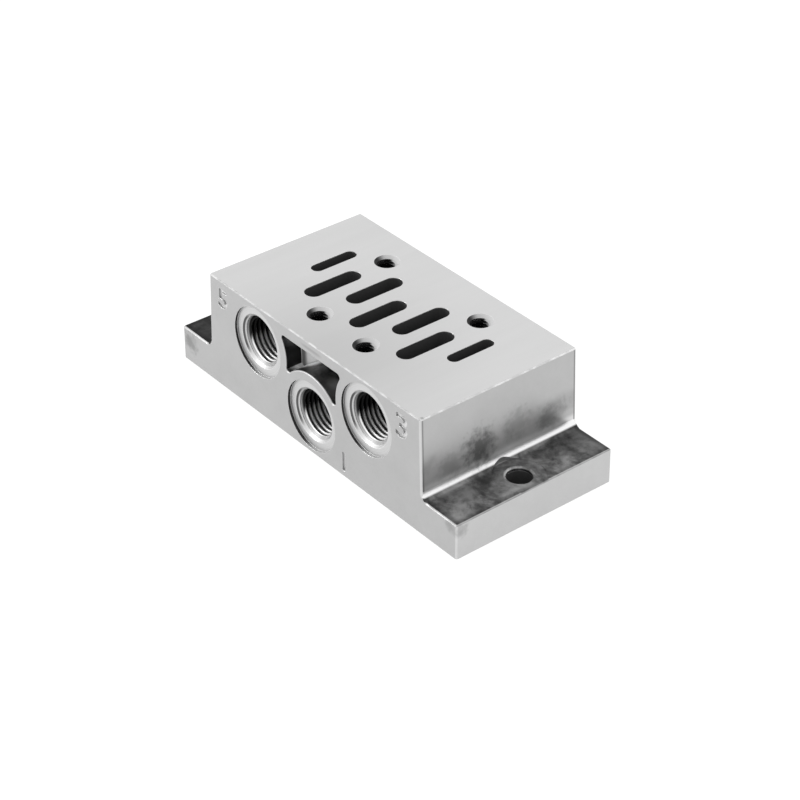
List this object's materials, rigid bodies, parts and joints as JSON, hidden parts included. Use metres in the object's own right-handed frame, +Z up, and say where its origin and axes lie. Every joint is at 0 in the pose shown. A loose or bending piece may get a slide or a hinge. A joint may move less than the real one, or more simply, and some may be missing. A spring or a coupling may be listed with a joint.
{
  "type": "pneumatic valve subbase",
  "caption": "Die-cast aluminium subbase for a bolt-on spool valve: slotted valve face, threaded side ports front and rear, and a drilled foot flange at each end.",
  "frame": {"origin": "centre of the underside", "axes": "+X along the length, +Y from the three-port front to the rear, +Z up towards the valve face"},
  "size_m": [0.11, 0.0484, 0.0315],
  "materials": {
    "casting": "satin, milled on the valve face, as cast elsewhere"
  },
  "bodies": {
    "root": {"subbase": "casting"}
  },
  "joints": []
}
